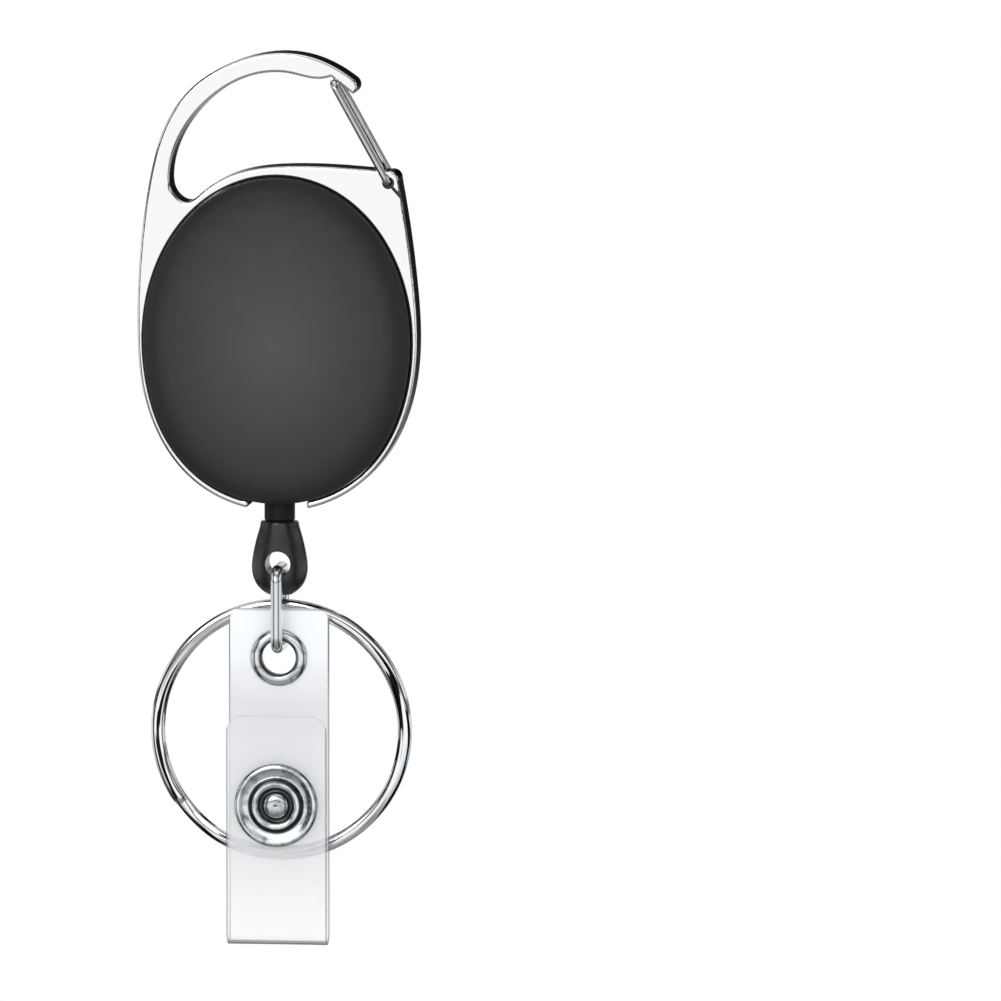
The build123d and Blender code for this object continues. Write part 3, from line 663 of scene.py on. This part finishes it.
def clip_strip():
    """One bent strip of spring steel: leg held in the shell, bend, springing leg, crease and tip."""
    half_w = (CLIP_HIGH.x - CLIP_LOW.x) / 2
    taper = 0.125 * MM
    bow = 0.12 * MM
    leg_y = ANCHOR_LOW.y + CLIP_T / 2
    bend = (leg_y + CLIP_BEND_R, CLIP_HIGH.z - CLIP_BEND_R - CLIP_T / 2)
    easing = 12
    easing_r = 20 * MM
    reach = easing_r - CLIP_BEND_R
    ease = (bend[0] - reach * cos(radians(easing)), bend[1] - reach * sin(radians(easing)))
    crease = (5.95 * MM, BODY_MID.z - 4.7 * MM)
    tip = (7.7 * MM, BODY_MID.z - 10.4 * MM)
    path = [
        ("line", (leg_y, ANCHOR_LOW.z), (leg_y, bend[1])),
        ("arc", bend, CLIP_BEND_R, 180, easing - 180),
        ("arc", ease, easing_r, easing, -easing),
        ("line", (ease[0] + easing_r, ease[1]), crease),
        ("line", crease, tip),
    ]
    stations, length = along_path(path, 0.4 * MM)
    crease_run = length - sqrt((tip[0] - crease[0]) ** 2 + (tip[1] - crease[1]) ** 2)
    rings = []
    for run, (y, z), (ny, nz) in stations:
        part = max(0.0, (bend[1] - z) / (bend[1] - tip[1]))
        width = half_w - taper * part * (1 if run > crease_run / 2 else 0)
        down = (ease[1] - z) / (ease[1] - crease[1])
        if y > bend[0] and 0 < down < 1:
            y += bow * sin(2 * pi * down)
        bar = rounded_bar(width, CLIP_T / 2, 0.14 * MM, columns=16)
        rings.append([(a, y + t * ny, z + t * nz) for a, t in bar])
    clip = add_piece("belt_clip_strip", loft(rings), "clip_steel")
    lean = (tip[0] - crease[0]) / (crease[1] - tip[1])
    round_tip(clip, half_w, tip, lean, leg_y + CLIP_T)
    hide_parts("clip_anchor", "belt_clip")
    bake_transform(clip)


# ---------------------------------------------------------------- cord


def pull_cord():
    """The cord from the winding round the guide's mouth, down through the fitting to its knot."""
    leave = Vector((LEAD_HIGH.x, 0, LEAD_HIGH.z)) - LEAD_INSET
    end = Vector((0, 0, LEAD_LOW.z))
    first = (leave - CORD_CORNER).normalized()
    half_turn = first.angle(Vector((0, 0, 1))) / 2
    reach = CORD_BEND_R * sin(half_turn) / cos(half_turn)
    start = CORD_CORNER + first * reach
    stop = CORD_CORNER + Vector((0, 0, -reach))
    line = [leave.lerp(start, i / 8) for i in range(8)]
    for i in range(9):
        t = i / 8
        line.append(start.lerp(CORD_CORNER, t).lerp(CORD_CORNER.lerp(stop, t), t))
    line += [stop.lerp(end, i / 20) for i in range(1, 21)]
    turns = [2 * pi * k / 24 for k in range(24)]
    side = Vector((0, 1, 0))
    rings = []
    for i, point in enumerate(line):
        ahead = line[min(i + 1, len(line) - 1)] - line[max(i - 1, 0)]
        up = ahead.normalized().cross(side)
        rings.append([point + CORD_R * (cos(turn) * side + sin(turn) * up) for turn in turns])
    cord = add_piece("pull_cord", loft(rings), "nylon_cord")
    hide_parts("cord_lead")
    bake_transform(cord)


# ---------------------------------------------------------------- snap and eyelet


def snap_front():
    """The front of the snap, from (radius, depth) points in mm, where the flap's front is depth 0."""
    rolled_rim = [
        (4.70, 0.02), (4.78, -0.10), (4.78, -0.22), (4.72, -0.36), (4.60, -0.47), (4.42, -0.53),
        (4.22, -0.52),
    ]
    sunk_ring = [(4.02, -0.44), (3.80, -0.34), (3.60, -0.28), (3.40, -0.24), (3.28, -0.22), (3.20, -0.25)]
    raised_ring = [
        (3.12, -0.37), (3.02, -0.53), (2.90, -0.62), (2.72, -0.67), (2.50, -0.68), (2.30, -0.66),
        (2.15, -0.58),
    ]
    well = [
        (2.06, -0.42), (2.00, -0.22), (1.90, -0.12), (1.74, -0.10), (1.60, -0.12), (1.52, -0.24),
        (1.45, -0.44),
    ]
    dome = [(1.34, -0.62), (1.15, -0.76), (0.90, -0.83), (0.60, -0.87), (0.30, -0.885), (0.004, -0.89)]
    back = [(0.004, 0.3), (4.4, 0.06)]
    outline = rolled_rim + sunk_ring + raised_ring + well + dome + back
    profile = [(r * MM, FLAP_LOW.y + depth * MM) for r, depth in outline]
    cap = add_piece("snap_cap_face", turned(profile, SNAP_MID), "nickel")
    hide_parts("snap_cap")
    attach(cap, "flap")


def eyelet_front():
    """The eyelet's barrel and rolled flange, from (radius, depth behind its front) points in mm."""
    rear = (EYELET_HIGH.y - EYELET_LOW.y) / MM
    seat = (BACK_HIGH.y - STRAP_T - EYELET_LOW.y) / MM
    bore_r, barrel_r, flange_r = 1.95, 2.25, 3.28
    roll = [
        (2.0, 0.22), (2.12, 0.08), (2.32, 0.01), (2.55, 0), (2.8, 0.05), (3.02, 0.16), (3.18, 0.3),
        (3.27, 0.42),
    ]
    outline = [(bore_r, rear), (bore_r, 0.42), *roll, (flange_r, seat), (barrel_r, seat), (barrel_r, rear)]
    profile = [(r * MM, EYELET_LOW.y + depth * MM) for r, depth in outline]
    ring = add_piece("eyelet_flange", turned(profile, EYELET_MID), "nickel")
    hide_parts("strap_eyelet")
    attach(ring, "strap")


# ---------------------------------------------------------------- key ring


def wire_outline(half_radial, half_t):
    """A flattened wire's section as (outward, through) points, fuller than an ellipse."""
    points = []
    for k in range(32):
        turn = 2 * pi * k / 32
        side = 1 if sin(turn) > 0 else -1
        points.append((half_radial * cos(turn), half_t * side * abs(sin(turn)) ** 0.8))
    return points


def split_ring():
    """The key ring: two turns of one flattened wire, and the crossing from one turn to the next."""
    half_radial, half_t = RING_RADIAL / 2, 0.41 * MM
    middle_r = (RING_HIGH.x - RING_LOW.x) / 2 - half_radial
    half_lift = 0.44 * MM
    # in degrees: where the crossing starts, how far it runs, and the room between it and each end
    crossing, ramp, gap = 205.0, 26.0, 2.0
    first = crossing + ramp + gap
    last = crossing + 720 - gap
    steps = 240
    rings = []
    for i in range(steps + 1):
        angle = first + (last - first) * i / steps
        part = min(1.0, max(0.0, (angle - crossing - 360) / ramp))
        y = RING_MID.y - half_lift * cos(pi * part)
        end = min(i, steps - i)
        blunt = (0.8, 0.95)[end] if end < 2 else 1.0
        a = radians(angle)
        ring = []
        for out, through in wire_outline(half_radial * blunt, half_t * blunt):
            r = middle_r + out
            ring.append((RING_MID.x + r * sin(a), y + through, RING_MID.z + r * cos(a)))
        rings.append(ring)
    coil = add_piece("split_ring", loft(rings), "ring_steel")
    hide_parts("key_ring")
    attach(coil, "ring")


badge_strap()
split_ring()
clip_strip()
pull_cord()
snap_front()
eyelet_front()


# ---------------------------------------------------------------- stage


def backdrop():
    """A round pale floor, low enough for the whole cord to be pulled out; the studio behind it is as pale."""
    floor_z = cad_box[0][2] - 0.8
    shape = bmesh.new()
    bmesh.ops.create_circle(shape, cap_ends=True, segments=96, radius=3.5)
    bmesh.ops.translate(shape, vec=(0, 0, floor_z), verts=shape.verts[:])
    mesh = bpy.data.meshes.new("backdrop")
    shape.to_mesh(mesh)
    shape.free()
    ground = bpy.data.objects.new("backdrop", mesh)
    bpy.context.scene.collection.objects.link(ground)
    s = Shader("backdrop_paper")
    s.set(Roughness=0.9, Base_Color=(*grey(0.35), 1), Emission_Color=(1, 1, 1, 1), Emission_Strength=0.78)
    mesh.materials.append(s.material)
    ground.visible_glossy = False


# what the chrome reflects: white cards in front and behind with dark gaps at the sides, by distance from the
# middle plane, and pale floor, dark horizon, card and ceiling, by height from straight down to straight up
SIDE_CARDS = [(0.0, WHITE), (0.52, WHITE), (0.64, BLACK), (0.79, BLACK), (0.89, SHEEN)]
HEIGHT_CARDS = [
    (0.0, grey(0.2)), (0.28, grey(0.35)), (0.375, PALE_BLUE), (0.445, grey(0.96)), (0.5, WHITE),
    (0.52, grey(0.15)), (0.57, grey(0.15)), (0.59, WHITE), (0.67, WHITE), (0.74, grey(0.5)),
    (0.8, grey(0.2)), (0.88, grey(0.2)), (0.94, grey(0.8)), (1.0, WHITE),
]
ROOM = [(0.8, WHITE), (0.88, grey(0.55))]


def studio_world():
    """A white room for the camera and soft light, and the studio's cards for reflections."""
    world = bpy.data.worlds.new("studio")
    bpy.context.scene.world = world
    world.use_nodes = True
    tree = world.node_tree
    room = tree.nodes["Background"]
    cards = tree.nodes.new("ShaderNodeBackground")
    mix = tree.nodes.new("ShaderNodeMixShader")
    path = tree.nodes.new("ShaderNodeLightPath")
    place = tree.nodes.new("ShaderNodeTexCoord")
    parts = tree.nodes.new("ShaderNodeSeparateXYZ")
    tree.links.new(place.outputs["Generated"], parts.inputs[0])
    side = tree.nodes.new("ShaderNodeMath")
    side.operation = "ABSOLUTE"
    tree.links.new(parts.outputs["X"], side.inputs[0])
    height = tree.nodes.new("ShaderNodeMapRange")
    height.inputs["From Min"].default_value = -1
    tree.links.new(parts.outputs["Z"], height.inputs["Value"])
    both = tree.nodes.new("ShaderNodeMix")
    both.data_type = "RGBA"
    both.blend_type = "MULTIPLY"
    both.inputs["Factor"].default_value = 1
    tree.links.new(colour_ramp(tree, side.outputs[0], SIDE_CARDS), both.inputs[6])
    tree.links.new(colour_ramp(tree, height.outputs["Result"], HEIGHT_CARDS), both.inputs[7])
    tree.links.new(colour_ramp(tree, height.outputs["Result"], ROOM), room.inputs["Color"])
    tree.links.new(both.outputs[2], cards.inputs["Color"])
    tree.links.new(path.outputs["Is Glossy Ray"], mix.inputs["Fac"])
    tree.links.new(room.outputs[0], mix.inputs[1])
    tree.links.new(cards.outputs[0], mix.inputs[2])
    tree.links.new(mix.outputs[0], tree.nodes["World Output"].inputs["Surface"])


def area_light(name, place, size, power, glossy):
    """A round lamp aimed at the body's middle."""
    data = bpy.data.lights.new(name, "AREA")
    data.shape = "DISK"
    data.size = size
    data.energy = power
    lamp = bpy.data.objects.new(name, data)
    lamp.location = place
    lamp.rotation_euler = (BODY_MID - Vector(place)).to_track_quat("-Z", "Y").to_euler()
    lamp.visible_glossy = glossy
    bpy.context.scene.collection.objects.link(lamp)


def lights():
    """The key lamp on the left, a weaker fill on the right, and a lamp for the back."""
    area_light("key", (-0.25, -0.75, 0.3), 0.5, 1.6, glossy=True)
    area_light("fill", (0.4, -0.7, 0.1), 0.6, 1.0, glossy=False)
    area_light("rear", (0.25, 0.75, 0.3), 0.5, 1.6, glossy=False)


VIEW_AZIMUTH = 7.0
VIEW_ELEVATION = 6.2
LENS = 600.0
SENSOR = 36.0
PICTURE_WIDTH = 1001 / 8.77 * MM        # 1001 pixels at 8.77 to the millimetre
# the middle of the picture lies to the right of the reel, which hangs in the picture's left half
PICTURE_MIDDLE = Vector((25.4 * MM, 0, -48.8 * MM))


def camera():
    """The camera, far enough away through its long lens that the object shows almost without perspective."""
    distance = PICTURE_WIDTH * LENS / SENSOR
    azimuth = radians(VIEW_AZIMUTH)
    elevation = radians(VIEW_ELEVATION)
    back = Vector((sin(azimuth) * cos(elevation), -cos(azimuth) * cos(elevation), sin(elevation)))
    data = bpy.data.cameras.new("camera")
    data.lens = LENS
    data.sensor_width = SENSOR
    data.clip_start = 0.01
    data.clip_end = 60
    eye = bpy.data.objects.new("camera", data)
    eye.location = PICTURE_MIDDLE + back * distance
    eye.rotation_euler = (-back).to_track_quat("-Z", "Y").to_euler()
    bpy.context.scene.collection.objects.link(eye)
    bpy.context.scene.camera = eye


backdrop()
studio_world()
lights()
camera()
bpy.context.scene.view_settings.view_transform = "Standard"
bpy.context.scene.view_settings.look = "None"
